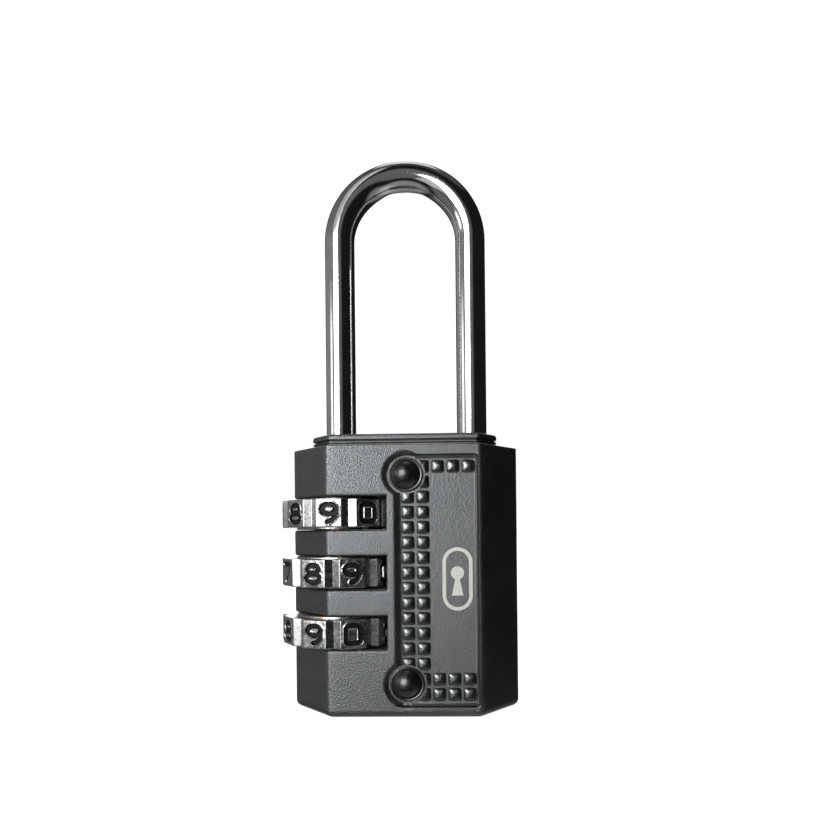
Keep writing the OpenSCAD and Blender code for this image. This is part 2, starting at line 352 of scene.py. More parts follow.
def paint_finish():
    """Satin black paint: a fine orange peel and grain, dust specks and thin, rubbed edges."""
    f = Finish(
        "satin_black_paint",
        Metallic=0.0,
        IOR=1.8,
        Specular_IOR_Level=1.0,
        Specular_Tint=(0.93, 0.975, 1.0),
    )
    polish = f.stored("polish")
    calm = f.remap(polish, 0, 1, 1, 0.35)
    peel = f.maths("MULTIPLY", f.noise(0.2, 2), calm)
    grain = f.maths("MULTIPLY", f.noise(0.13, 2), calm)
    cloud = f.noise(5.0, 3)
    specks = f.remap(f.noise(0.16, 0), 0.72, 0.8, 0, 1)
    rubbed = f.maths("MULTIPLY", f.stored("edge"), f.remap(f.noise(0.5, 4), 0.45, 0.65, 0, 1))
    base = f.mix(f.remap(cloud, 0.35, 0.65, 0, 1), (0.0045, 0.0048, 0.0056), (0.0075, 0.008, 0.0092))
    base = f.mix(f.maths("MULTIPLY", specks, 0.25), base, (0.12, 0.12, 0.12))
    f.put("Base Color", f.mix(f.maths("MULTIPLY", rubbed, 0.25), base, (0.1, 0.105, 0.11)))
    rough = f.maths("ADD", f.remap(cloud, 0.3, 0.7, 0.33, 0.39), f.remap(grain, 0.3, 0.7, -0.04, 0.04))
    f.put("Roughness", f.maths("SUBTRACT", rough, f.maths("MULTIPLY", polish, 0.08)))
    f.bump((peel, 0.058, 1.0), (grain, 0.045, 1.0))
    return f.material


def gloss_black_finish():
    """Gloss black lacquer with faint handling marks."""
    f = Finish("gloss_black_lacquer", Metallic=0.0, IOR=1.6, Specular_IOR_Level=0.7)
    cloud = f.noise(1.2, 4)
    marks = f.noise(0.25, 2, (6, 1, 1), 0.6)
    f.put("Base Color", f.mix(f.remap(cloud, 0.4, 0.7, 0, 1), (0.006, 0.006, 0.007), (0.012, 0.012, 0.014)))
    f.put("Roughness", f.maths("ADD", f.remap(cloud, 0.3, 0.7, 0.2, 0.3), f.remap(marks, 0.5, 0.75, 0, 0.1)))
    f.bump((f.noise(0.6, 2), 0.02, 0.35), (marks, 0.003, 0.4))
    return f.material


def chrome_finish():
    """Polished chrome on bent wire: a slow waviness, drawing lines and dull spots."""
    f = Finish("bent_wire_chrome", Metallic=1.0)
    lines = f.noise(0.12, 2, (1, 1, 40))
    spots = f.remap(f.noise(0.5, 4), 0.58, 0.72, 0, 1)
    cloud = f.noise(3.0, 3)
    base = f.mix(f.remap(cloud, 0.35, 0.65, 0, 1), (0.56, 0.575, 0.58), (0.66, 0.67, 0.675))
    f.put("Base Color", f.mix(f.maths("MULTIPLY", spots, 0.4), base, (0.34, 0.335, 0.32)))
    rough = f.maths("ADD", f.remap(cloud, 0.3, 0.7, 0.05, 0.09), f.remap(lines, 0.45, 0.75, 0, 0.05))
    f.put("Roughness", f.maths("ADD", rough, f.maths("MULTIPLY", spots, 0.12)))
    f.bump((f.noise(4.0, 1, (1, 1, 3)), 0.05, 0.12), (lines, 0.002, 0.3))
    return f.material


def dial_finish():
    """Chrome on cast dials: fine pits and ripples, worn to brass along the rims."""
    f = Finish("cast_dial_chrome", Metallic=1.0)
    ripple = f.noise(0.5, 3, (1, 1, 1), 0.4)
    pits = f.noise(0.13, 2)
    worn = f.maths("MULTIPLY", f.stored("rim"), f.remap(f.noise(0.7, 4), 0.54, 0.66, 0, 1))
    stain = f.remap(f.noise(0.35, 5), 0.52, 0.72, 0, 1)
    base = f.mix(f.remap(ripple, 0.35, 0.7, 0, 1), (0.5, 0.505, 0.51), (0.6, 0.6, 0.6))
    base = f.mix(f.maths("MULTIPLY", stain, 0.35), base, (0.22, 0.21, 0.2))
    f.put("Base Color", f.mix(f.maths("MULTIPLY", worn, 0.6), base, (0.62, 0.4, 0.17)))
    rough = f.maths("ADD", f.remap(ripple, 0.3, 0.7, 0.22, 0.34), f.maths("MULTIPLY", stain, 0.1))
    f.put("Roughness", f.maths("ADD", rough, f.maths("MULTIPLY", worn, 0.12)))
    f.bump((ripple, 0.02, 0.3), (pits, 0.005, 0.4))
    return f.material


def digit_finish():
    """Black paint settled in the sunk digits."""
    f = Finish("digit_black_paint", Metallic=0.0, IOR=1.4, Specular_IOR_Level=0.3)
    cloud = f.noise(0.3, 4)
    f.put("Base Color", f.mix(f.remap(cloud, 0.35, 0.7, 0, 1), (0.006, 0.006, 0.006), (0.02, 0.019, 0.018)))
    f.put("Roughness", f.remap(cloud, 0.3, 0.7, 0.4, 0.6))
    f.bump((f.noise(0.16, 3), 0.02, 0.6), (f.noise(0.06, 2), 0.006, 0.4))
    return f.material


def foil_finish():
    """Matt silver foil, faintly brushed, with a few rubbed specks."""
    f = Finish("matt_silver_foil", Metallic=0.35)
    brushed = f.noise(0.09, 3, (8, 1, 1))
    specks = f.remap(f.noise(0.14, 2), 0.6, 0.72, 0, 1)
    base = f.mix(brushed, (0.66, 0.66, 0.61), (0.8, 0.8, 0.74))
    f.put("Base Color", f.mix(f.maths("MULTIPLY", specks, 0.5), base, (0.3, 0.3, 0.29)))
    f.put("Roughness", f.remap(brushed, 0.3, 0.7, 0.4, 0.55))
    f.bump((brushed, 0.006, 0.5), (specks, 0.004, 0.4))
    return f.material


def turned_metal(name, dark, light, roughness):
    """Turned or drawn metal: fine tool lines round the axis, oil film and dull spots."""
    f = Finish(name, Metallic=1.0)
    lines = f.noise(0.1, 2, (20, 20, 1))
    film = f.noise(1.4, 4)
    f.put("Base Color", f.mix(f.remap(film, 0.35, 0.65, 0, 1), dark, light))
    oiled = f.remap(film, 0.3, 0.7, roughness, roughness + 0.14)
    f.put("Roughness", f.maths("ADD", oiled, f.remap(lines, 0.4, 0.7, 0, 0.08)))
    f.bump((lines, 0.006, 0.5), (f.noise(0.2, 3), 0.004, 0.3))
    return f.material


# ------------------------------------------------------------------ body


def corner(before, at, after, reach, steps=5):
    """Points round a corner, from reach before it to reach after it."""
    before, at, after = (np.array(p, float) for p in (before, at, after))
    first = at + (before - at) / np.linalg.norm(before - at) * reach
    last = at + (after - at) / np.linalg.norm(after - at) * reach
    t = np.linspace(0, 1, steps)[:, None]
    return (1 - t) ** 2 * first + 2 * t * (1 - t) * at + t**2 * last


def half_outline(half, depth, bevel, inset, face_share):
    """Half of a bevelled rectangle from left to right, bulging to -Y, drawn in by inset.
    face_share places the points of the front face, from 0 at its left end to 1 at its right."""
    half, depth = half - inset, depth - inset
    bevel = bevel - (2 - math.sqrt(2)) * inset
    left = [(0, 0), (-half, 0), (-half, bevel - depth), (bevel - half, -depth), (0, -depth)]
    widened = 1.6    # a parabola is tighter in its middle than an arc
    reach = CORNER_R * math.tan(math.radians(22.5)) * widened
    turns = [corner(*left[i : i + 3], SEAM_R if i == 0 else reach) for i in range(3)]
    near, far = EDGE_BAND, 1 - EDGE_BAND
    between = [
        [first[-1] * (1 - t) + second[0] * t for t in (near, far)]
        for first, second in zip(turns[:-1], turns[1:])
    ]
    left_side = np.concatenate([turns[0], between[0], turns[1], between[1], turns[2]])
    ends = left_side[-1][0], -left_side[-1][0]
    face = [(ends[0] + share * (ends[1] - ends[0]), -depth) for share in face_share]
    right_side = left_side[::-1] * (-1, 1)
    return np.concatenate([left_side, face, right_side]), len(left_side)


def lines(*groups, apart=0.035):
    """One rising list of places from several lists, without the ones that nearly coincide."""
    kept = []
    for value in np.sort(np.concatenate([np.atleast_1d(g) for g in groups])):
        if not kept or value - kept[-1] > apart:
            kept.append(value)
    return np.array(kept)


def slot_gap(x, z):
    """Distance on the face from a point to the nearest dial slot's opening."""
    gaps = [
        np.hypot(np.maximum(x - SLOT_END, 0), np.maximum(abs(z - at[2]) - SLOT_HALF, 0))
        for at in DIAL_AT.values()
    ]
    return np.minimum.reduce(gaps)


def rim_drop(gap):
    """How far a slot's rounded edge falls below the face, at a distance from the opening."""
    along = np.clip(1 - gap / SLOT_RIM, 0, 1)
    return SLOT_RIM * (1 - np.sqrt(1 - along**2))


def moats(x, z, depth, reach_in, reach_out):
    """Depth of the soft sink round both rivets."""
    out = np.minimum.reduce([np.hypot(x - RIVET_X, z - rivet_z) for rivet_z in RIVET_Z])
    return depth * (1 - ramp(out, RIVET_SEAT_R - reach_in, RIVET_SEAT_R + reach_out))


def front_relief(x, z):
    """Depth of the front face below its plane: the panel, its bead and the rivets' moats."""
    from_right = PANEL_RIGHT - x
    from_end = np.minimum(z - PANEL_LOW, PANEL_TOP - z)
    in_corner = PANEL_CORNER - np.hypot(PANEL_CORNER - from_right, PANEL_CORNER - from_end)
    is_corner = np.maximum(from_right, from_end) < PANEL_CORNER
    inside = np.where(is_corner, in_corner, np.minimum(from_right, from_end))
    bead = BEAD_H * np.exp(-(((inside - BEAD_IN) / BEAD_W) ** 2)) * ramp(x, 0.0, BEAD_FADE)
    depth = ramp(x, *PANEL_LEFT) * (PANEL_DEPTH * ramp(inside, 0.0, PANEL_WALL) - bead)
    return np.maximum(depth, moats(x, z, *FRONT_MOAT))


def rear_relief(x, z):
    """The rear face is plain, with a soft edge round each rivet's tail."""
    return moats(x, z, *REAR_MOAT)


# Grid lines across the panel's wall and bead, a rivet's moat and a slot's rounded edge
PANEL_LINES = np.linspace(-0.04, 0.7, 18)
MOAT_LINES = np.arange(-3.4, 3.41, 0.17)
RIM_LINES = SLOT_RIM * (1 - np.cos(np.radians(np.linspace(0, 90, 6))))


def body_levels():
    """Rows of the shell's loft: (z, outline's half width, depth, bevel, inset)."""
    body = (BODY_HALF, FACE_Y, BEVEL)
    step = (STEP_HALF, STEP_Y, STEP_BEVEL)
    rows = []
    turn = np.radians(np.linspace(0, 90, 9))
    for a in turn[:-1]:
        rows.append((FOOT_R * (1 - math.cos(a)), *body, FOOT_R * (1 - math.sin(a))))
    shoulder = BODY_TOP - SHOULDER_R
    slots = [at[2] + side * (SLOT_HALF + RIM_LINES) for at in DIAL_AT.values() for side in (-1, 1)]
    rivets = [z + MOAT_LINES for z in RIVET_Z]
    panel = [PANEL_TOP - PANEL_LINES, PANEL_LOW + PANEL_LINES]
    plain = np.arange(FOOT_R, shoulder, 1.2)
    for z in lines(*slots, *rivets, *panel, plain, [FOOT_R, shoulder]):
        if FOOT_R <= z <= shoulder:
            rows.append((z, *body, 0.0))
    for a in turn[1:]:
        rows.append((BODY_TOP - SHOULDER_R * (1 - math.sin(a)), *body, SHOULDER_R * (1 - math.cos(a))))
    for a in turn[::2]:
        rows.append((BODY_TOP + STEP_FILLET * (1 - math.cos(a)), *step, -STEP_FILLET * (1 - math.sin(a))))
    for below_top, line_half, line_depth in STEP_LINES:
        for t in np.linspace(-1, 1, 9):
            rows.append((STEP_TOP - below_top + line_half * t, *step, line_depth * (1 - t * t)))
    for a in turn:
        rows.append((STEP_TOP - STEP_EDGE_R * (1 - math.sin(a)), *step, STEP_EDGE_R * (1 - math.cos(a))))
    return rows


def shell_block(name, side, relief):
    """One shell's outside as a solid, bulging to the front (side -1) or to the rear (side 1)."""
    from_corner = 0.3
    flat_half = BODY_HALF - BEVEL - from_corner
    x_lines = lines(
        np.linspace(-flat_half, flat_half, 16),
        SLOT_END + RIM_LINES,
        RIVET_X + MOAT_LINES,
        PANEL_RIGHT - PANEL_LINES,
        np.linspace(*PANEL_LEFT, 12),
    )
    x_lines = x_lines[abs(x_lines) <= flat_half]
    share = (x_lines + flat_half) / (2 * flat_half)
    rings = []
    for z, half, depth, bevel, inset in body_levels():
        points, ends = half_outline(half, depth, bevel, inset, share)
        if half == BODY_HALF:
            face = slice(ends, len(points) - ends)
            fall = np.zeros(len(points))
            fall[face] = relief(x_lines, z)
            fall = np.maximum(fall, rim_drop(slot_gap(points[:, 0], z)))
            inward = np.gradient(points, axis=0)[:, ::-1] * (-1, 1)
            inward /= np.linalg.norm(inward, axis=1)[:, None]
            points = points + inward * fall[:, None]
            points[[0, -1], 1] = 0
        rings.append(np.column_stack([points * (1, -side), np.full(len(points), z)]))
    return loft(name, rings)


def pillow_at(x, z):
    """A domed square, sunk a little into the panel's floor, that grows rounder towards its top."""
    turn = circle(32)
    floor = PANEL_DEPTH - FACE_Y
    dome = [
        (math.sin(a), PILLOW_FOOT + PILLOW_DOME * math.cos(a))
        for a in np.radians(np.linspace(90, 3, 12))
    ]
    round_power, square_power = 2.6, 3.4
    rings = []
    for size, height in [(1.0, -PILLOW_SUNK)] + dome:
        power = round_power + square_power * size**2
        reach = (abs(np.cos(turn)) ** power + abs(np.sin(turn)) ** power) ** (-1 / power)
        ring_r = PILLOW_HALF * size * reach
        level = np.full(len(turn), floor - height)
        rings.append(np.column_stack([x + ring_r * np.cos(turn), level, z + ring_r * np.sin(turn)]))
    return rings


def pillows():
    """The squares run down two columns and turn the corner at both ends."""
    found = []
    for row in range(PILLOW_ROWS):
        is_end = row == 0 or row >= PILLOW_ROWS - 2
        for col in range(CORNER_COLS):
            clear_of_rivet = col > 0 or 1 < row < PILLOW_ROWS - 2
            if clear_of_rivet and (col < 2 or is_end):
                x = PILLOW_AT[0] + col * PILLOW_PITCH
                found.append(pillow_at(x, PILLOW_AT[1] - row * PILLOW_PITCH))
    return found


def shell_cuts():
    """What both shells are cut by: slots, pockets, the well, bores, holes and rivet seats."""
    fin_room_r, bush_r, toe_r, hole_r = 3.4, 3.0, WIRE_R + 0.15, 1.22
    outside = 9      # past the front and rear faces
    mouth = 0.1      # how far a flared mouth goes past the top
    floor = cad("spring_seat")[0][2]
    fin_top = cad("shackle_bush")[0][2]
    ring_top = cad("thrust_ring")[1][2]
    cuts = []
    for at in DIAL_AT.values():
        low, high = at[2] - SLOT_HALF, at[2] + SLOT_HALF
        cuts.append(block((-2 * BODY_HALF, -2 * FACE_Y, low), (SLOT_END, 2 * FACE_Y, high)))
        cuts.append(drum(AXIS_X, 0, [(POCKET_R, low), (POCKET_R, high)], 96))
    cuts.append(drum(AXIS_X, 0, [(WELL_R, floor), (WELL_R, ring_top)]))
    cuts.append(drum(AXIS_X, 0, [(fin_room_r, floor + 1), (fin_room_r, fin_top + 0.6)]))
    for x, radius, low, straight, flare in (
        (AXIS_X, bush_r, fin_top, STEP_TOP - 0.25, 0.3),
        (TOE_X, toe_r, TOE_LOW - 0.3, STEP_TOP - 0.3, 0.35),
    ):
        cuts.append(drum(x, 0, [(radius, low), (radius, straight), (radius + flare, STEP_TOP + mouth)]))
    for z in RIVET_Z:
        cuts.append(drum_y(RIVET_X, z, [(hole_r, -outside), (hole_r, outside)]))
        for side in (-1, 1):
            seat = side * (FACE_Y - RIVET_SEAT)
            cuts.append(drum_y(RIVET_X, z, [(RIVET_SEAT_R, seat), (RIVET_SEAT_R, side * outside)], 96))
    return cuts


def wear_masks(piece, side):
    """Marks the shell's outer edges, where the paint is thin, and the pillows, which hands polish."""
    band = 0.3       # how far from an edge the paint can be rubbed
    x, y, z = points_of(piece).T
    out, deep = abs(x), abs(y)
    bevel_line = BODY_HALF + FACE_Y - BEVEL
    walls = [BODY_HALF - out, FACE_Y - deep, (bevel_line - out - deep) / math.sqrt(2), BODY_TOP - z, z]
    near = np.sort(np.abs(walls), axis=0)
    on_edge = (near[1] < band) & (z < BODY_TOP + 0.1)
    step_line = STEP_HALF + STEP_Y - STEP_BEVEL
    beside = np.minimum.reduce([STEP_HALF - out, STEP_Y - deep, (step_line - out - deep) / math.sqrt(2)])
    on_edge |= (STEP_TOP - z < band) & (beside < band)
    mask(piece, "edge", on_edge)
    clear = 0.05     # from the panel's floor and from the face
    raised = (y < PANEL_DEPTH - FACE_Y - clear) & (y > clear - FACE_Y)
    on_panel = (x > PILLOW_AT[0] - PILLOW_HALF) & (x < PANEL_RIGHT - PANEL_CORNER)
    mask(piece, "polish", raised & on_panel & (side < 0))


def make_shell(name, node, side, relief, paint):
    """One half of the body, with its relief, its cuts and the marks of wear."""
    piece = shell_block(name, side, relief)
    if side < 0:
        carve(piece, "UNION", *pillows())
    carve(piece, "DIFFERENCE", *shell_cuts())
    wear_masks(piece, side)
    shade(piece, [paint])
    return place(piece, "body", "paint", node)


# ------------------------------------------------------------------ rivets


def make_rivet(name, z, lacquer):
    """Domed head on a flange in front, a shank, and a peened tail behind."""
    seat = FACE_Y - RIVET_SEAT
    dome_r, dome_h, flange_h, flange_round, shank_r = 1.85, 0.95, 0.3, 0.14, 1.2
    cap_r = (dome_r**2 + dome_h**2) / (2 * dome_h)
    top = seat + flange_h + dome_h
    profile = []
    for r in np.sin(np.radians(np.linspace(1, 90, 22))) * dome_r:
        profile.append((r, -(top - cap_r + math.sqrt(cap_r**2 - r**2))))
    head = seat + flange_h
    profile += [(dome_r + 0.02, -head + 0.03), (dome_r + 0.06, -head + 0.03), (dome_r + 0.1, -head)]
    for a in np.radians(np.linspace(0, 90, 6)):
        rounded_in, rounded_up = flange_round * (1 - math.sin(a)), flange_round * (1 - math.cos(a))
        profile.append((RIVET_HEAD_R - rounded_in, -head + rounded_up))
    profile += [(RIVET_HEAD_R, -seat), (shank_r, -seat), (shank_r, seat)]
    profile += [(dome_r - 0.02, seat), (dome_r, seat + 0.08)]
    tail = ((1.62, 0.14), (1.5, 0.05), (1.36, 0), (0.95, 0.02), (0.7, 0.12), (0.4, 0.2), (0.03, 0.22))
    profile += [(r, FACE_Y - below) for r, below in tail]
    piece = loft(name, drum_y(RIVET_X, z, profile, 72))
    shade(piece, [lacquer], 50)
    return place(piece, "body", "rivet_black", "rivets")


# ------------------------------------------------------------------ shackle


def make_shackle(chrome):
    """Bent wire with a rounded nose on each end, and three fins on the long leg."""
    nose = 0.5
    rise = np.radians(np.linspace(0, 90, 7))
    nose_rows = [(WIRE_R - nose * (1 - math.sin(a)), nose * (1 - math.cos(a))) for a in rise]
    line = [(AXIS_X, LEG_LOW + up, -1.0, 0.0, r) for r, up in nose_rows]
    line += [(AXIS_X, z, -1.0, 0.0, WIRE_R) for z in np.linspace(LEG_LOW + 2, ARCH_Z, 12)[:-1]]
    for a in np.radians(np.linspace(180, 0, 97)):
        c, s = math.cos(a), math.sin(a)
        line.append((ARCH_X + ARCH_R * c, ARCH_Z + ARCH_R * s, c, s, WIRE_R))
    line += [(TOE_X, z, 1.0, 0.0, WIRE_R) for z in np.linspace(ARCH_Z, TOE_LOW + 2, 8)[1:]]
    line += [(TOE_X, TOE_LOW + up, 1.0, 0.0, r) for r, up in nose_rows[::-1]]
    turn = circle(96)
    rings = [
        np.column_stack([x + r * np.cos(turn) * c, r * np.sin(turn), z + r * np.cos(turn) * s])
        for x, z, c, s, r in line
    ]
    piece = loft("shackle_bar", rings)
    fin_half, fin_reach, fin_low, fin_h = 0.7, 3.1, -3.1, 1.5
    for at in DIAL_AT.values():
        low = at[2] + fin_low
        fin = block((0, -fin_half, low), (fin_reach, fin_half, low + fin_h), about=(AXIS_X, 0))
        carve(piece, "UNION", fin)
    shade(piece, [chrome], 40)
    return place(piece, "shackle", "shackle_chrome", "shackle")


# ------------------------------------------------------------------ reset spring


def make_spring(metal):
    """A coil under the spring washer. It keeps one length, though the real spring shortens as the sleeves are
    pushed down.
    """
    coil_r, strand_r, coil_turns, steps = 3.36, 0.18, 5, 32
    low, high = cad("reset_spring")[0][2], cad("reset_spring")[1][2]
    around = circle(12)
    reach, lift = coil_r + strand_r * np.cos(around), strand_r * np.sin(around)
    rings = []
    for t in np.linspace(0, 1, coil_turns * steps + 1):
        a = t * coil_turns * 2 * math.pi
        z = low + strand_r + t * (high - low - 2 * strand_r)
        rings.append(np.column_stack([AXIS_X + reach * math.cos(a), reach * math.sin(a), z + lift]))
    piece = loft("reset_coil", rings)
    shade(piece, [metal], 50)
    place(piece, "body", "steel", "reset_spring")
    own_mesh(piece)


# ------------------------------------------------------------------ dials


GLYPH_X = 0.93          # half the width and height of a digit's centreline
GLYPH_Z = 1.1
STROKE = 0.27           # half a stroke's width
SUNK = 0.26
STROKE_WALL = (-0.07, 0.04)    # a sunk stroke's sloping wall, from the stroke's edge
LIP = 0.07
LIP_OUT = 0.1           # from the stroke's edge to the lip's crest
LIP_W = 0.06
FACET_SUNK = 0.035      # leaves room for the lips inside the dial's own radius
FAR = 9.0               # more than any distance on a facet


def arc(x, z, rx, rz, start, end, steps=18):
    """Points on an ellipse's arc; angles in degrees, anticlockwise from +X."""
    a = np.radians(np.linspace(start, end, steps))
    return np.column_stack([x + rx * np.cos(a), z + rz * np.sin(a)])


def digit_strokes():
    """The centrelines of 0 to 9, as lists of points in millimetres from a facet's middle."""
    w, h = GLYPH_X, GLYPH_Z
    q = 0.45
    zero = [arc(w - q, h - q, q, q, 0, 90, 6), arc(q - w, h - q, q, q, 90, 180, 6)]
    zero += [arc(q - w, q - h, q, q, 180, 270, 6), arc(w - q, q - h, q, q, 270, 360, 6)]
    two = [arc(0, h - 0.65, w, 0.65, 165, -30), [(-w, -h), (w, -h)]]
    five = [[(0.75 * w, h), (-0.8 * w, h), (-0.85 * w, 0.15)], arc(-0.05, -0.4, w, 0.7, 120, -150)]
    loop = 0.62
    tail = [arc(0, 0.25, w, 0.3, 30, 0, 3), arc(w - 1.25, 0.1, 1.25, h + 0.1, 0, -80, 14)]
    nine = [arc(0, h - loop, w, loop, 0, 360, 36), np.concatenate(tail)]
    return [
        [np.concatenate(zero + [zero[0][:1]])],
        [np.array([(-0.35, h - 0.45), (0.1, h), (0.1, -h)]), np.array([(-0.4, -h), (0.6, -h)])],
        [np.concatenate(two)],
        [arc(0, h / 2, w * 0.9, h / 2, 150, -90), arc(0, -h / 2, w, h / 2, 90, -150)],
        [np.array([(0.35, -h), (0.35, h), (-w, -0.35), (w, -0.35)])],
        [np.concatenate(five)],
        [-part for part in nine],
        [np.array([(-w, h), (w, h), (-0.25, -h)])],
        [arc(0, h / 2 + 0.03, 0.82 * w, h / 2 - 0.03, 0, 360, 30), arc(0, -h / 2, w, h / 2, 0, 360, 30)],
        nine,
    ]


def stroke_gap(u, v, strokes):
    """Distance from each point of a facet to the nearest centreline."""
    nearest = np.full(u.shape, FAR)
    for stroke in strokes:
        for (x0, z0), (x1, z1) in zip(stroke[:-1], stroke[1:]):
            dx, dz = x1 - x0, z1 - z0
            t = np.clip(((u - x0) * dx + (v - z0) * dz) / (dx * dx + dz * dz + 1e-9), 0, 1)
            nearest = np.minimum(nearest, np.hypot(u - x0 - t * dx, v - z0 - t * dz))
    return nearest


def digit_relief(gap):
    """Height of a facet by distance from a centreline: a sunk stroke inside a raised lip."""
    sunk = 1 - ramp(gap, STROKE + STROKE_WALL[0], STROKE + STROKE_WALL[1])
    lip = np.exp(-(((gap - STROKE - LIP_OUT) / LIP_W) ** 2))
    return LIP * lip * (1 - sunk) - SUNK * sunk


def dial_turn(node, axis):
    """The angle of the face nearest the front, from the frame's own corners, in radians."""
    points = np.array([v.co for v in frame["nodes"][node].data.vertices]) / MM - axis
    radius = np.hypot(points[:, 0], points[:, 1])
    tolerance = 0.01
    corners = points[radius > DIAL_R - tolerance]
    around = FACES * np.arctan2(corners[:, 0], -corners[:, 1])
    return math.atan2(-np.sin(around).sum(), -np.cos(around).sum()) / FACES


def facet_grid():
    """Places across and up a facet, and how far its chamfered ends draw each row in."""
    fine = 0.055
    across = np.concatenate([
        [-FACET_HALF + 0.08, -1.45], np.arange(-1.28, 1.281, fine), [1.45, FACET_HALF - 0.08]
    ])
    chamfer = 0.13
    rim = np.array([0, 0.02, 0.05, 0.09, chamfer])
    drop = np.array([chamfer, 0.07, 0.03, 0.008, 0])
    up = np.concatenate([-DIAL_HALF + rim, np.arange(-1.45, 1.451, fine), (DIAL_HALF - rim)[::-1]])
    drawn_in = np.concatenate([drop, np.zeros(len(up) - 2 * len(rim)), drop[::-1]])
    return across, up, drawn_in


def groove_flank(apothem):
    """Half of the V groove between two faces, from the facet's edge to the bottom: (along, outward)."""
    low_r = DIAL_R - GROOVE_DEPTH
    low_u, low_out = low_r * math.sin(FACE_STEP / 2), low_r * math.cos(FACE_STEP / 2)
    return np.array([
        (FACET_HALF - 0.02, apothem - 0.025),
        (FACET_HALF + 0.05, apothem - 0.09),
        (low_u - 0.05, low_out + 0.06),
        (low_u, low_out + 0.02),
    ])


def dial_rings(axis, turned, front_digit, strokes):
    """Rings of a dial's outside, with a digit in each face."""
    apothem = math.sqrt(DIAL_R**2 - FACET_HALF**2) - FACET_SUNK
    across, up, drawn_in = facet_grid()
    flank = groove_flank(apothem)
    before = flank[:3][::-1]
    grid = np.meshgrid(across, up)
    along = np.concatenate([-before[:, 0], across, flank[:, 0]])
    rings = [[] for _ in up]
    for face in range(FACES):
        angle = turned + face * FACE_STEP
        height = digit_relief(stroke_gap(*grid, strokes[(front_digit + face) % FACES]))
        out, side = (math.sin(angle), -math.cos(angle)), (math.cos(angle), math.sin(angle))
        for ring, row, z, inset in zip(rings, height, up, drawn_in):
            outward = np.concatenate([before[:, 1], apothem + row, flank[:, 1]]) - inset
            ring.extend(
                (axis[0] + o * out[0] + a * side[0], o * out[1] + a * side[1], axis[2] + z)
                for a, o in zip(along, outward)
            )
    return rings


def make_dial(name, front_digit, chrome, digit_paint):
    """A ring with ten flat faces, a digit cut in each, V grooves between them and coupling teeth."""
    node = f"dial_{name}"
    axis = DIAL_AT[name]
    turned = dial_turn(node, axis)
    strokes = digit_strokes()
    piece = loft(f"{node}_ring", dial_rings(axis, turned, front_digit, strokes))
    low, high = axis[2] - DIAL_HALF - HUB_H, axis[2] + DIAL_HALF + HUB_H
    hub_side = [(HUB_R - 0.1, -DIAL_HALF - HUB_H), (HUB_R, 0.08 - DIAL_HALF - HUB_H)]
    hub_side += [(radius, -z) for radius, z in hub_side[::-1]]
    carve(piece, "UNION", drum(axis[0], 0, [(radius, axis[2] + z) for radius, z in hub_side], 96))
    bore = [(WELL_R + 0.2, low - 0.1), (WELL_R, low + 0.1), (WELL_R, high + 1)]
    carve(piece, "DIFFERENCE", drum(axis[0], 0, bore))
    room_r, teeth_low = 5.0, axis[2] + 0.2
    room = [(room_r + 0.3, low - 0.1), (room_r, low + 0.2), (room_r, teeth_low)]
    carve(piece, "DIFFERENCE", drum(axis[0], 0, room))
    teeth, tooth_half, tooth_reach = 20, 0.42, 4.85
    for tooth in range(teeth):
        angle = turned - math.pi / 2 + tooth * 2 * math.pi / teeth
        low_end, high_end = (0.5, -tooth_half, teeth_low - 0.1), (tooth_reach, tooth_half, high + 1)
        carve(piece, "DIFFERENCE", block(low_end, high_end, angle, (axis[0], 0)))
    shade(piece, [chrome, digit_paint], 38)
    mark_digits(piece, axis, turned, front_digit, strokes)
    return place(piece, node, "dial_chrome", node)


def mark_digits(piece, axis, turned, front_digit, strokes):
    """Paints the sunk strokes and marks the rims, where the plating wears."""
    mesh = piece.data
    middles = np.empty(len(mesh.polygons) * 3)
    mesh.polygons.foreach_get("center", middles)
    x, y, z = (middles.reshape(-1, 3) / MM - axis).T
    around = np.arctan2(x, -y) - turned
    face = np.round(around / FACE_STEP).astype(int)
    local = around - face * FACE_STEP
    radius = np.hypot(x, y)
    gap = np.full(len(x), FAR)
    for digit in range(FACES):
        chosen = (face + front_digit) % FACES == digit
        gap[chosen] = stroke_gap(radius[chosen] * np.sin(local[chosen]), z[chosen], strokes[digit])
    facet_r, facet_half = DIAL_R - 1.0, DIAL_HALF - 0.1
    sunk = (gap < STROKE + 0.01) & (radius > facet_r) & (abs(z) < facet_half)
    indexes = mesh.attributes.get("material_index") or mesh.attributes.new("material_index", "INT", "FACE")
    indexes.data.foreach_set("value", sunk.astype(np.int32))
    from_middle = abs(points_of(piece)[:, 2] - axis[2])
    mask(piece, "rim", ramp(from_middle, DIAL_HALF - 0.25, DIAL_HALF - 0.02))


# ------------------------------------------------------------------ the lock

paint = paint_finish()
make_shell("body_front", "front_shell", -1, front_relief, paint)
make_shell("body_rear", "rear_shell", 1, rear_relief, paint)

lacquer = gloss_black_finish()
for rivet_name, rivet_z in zip(("rivet_upper", "rivet_lower"), RIVET_Z):
    make_rivet(rivet_name, rivet_z, lacquer)

make_shackle(chrome_finish())

dial_chrome, digit_paint = dial_finish(), digit_finish()
for dial_name, front_digit in zip(DIALS, (9, 9, 0)):
    make_dial(dial_name, front_digit, dial_chrome, digit_paint)

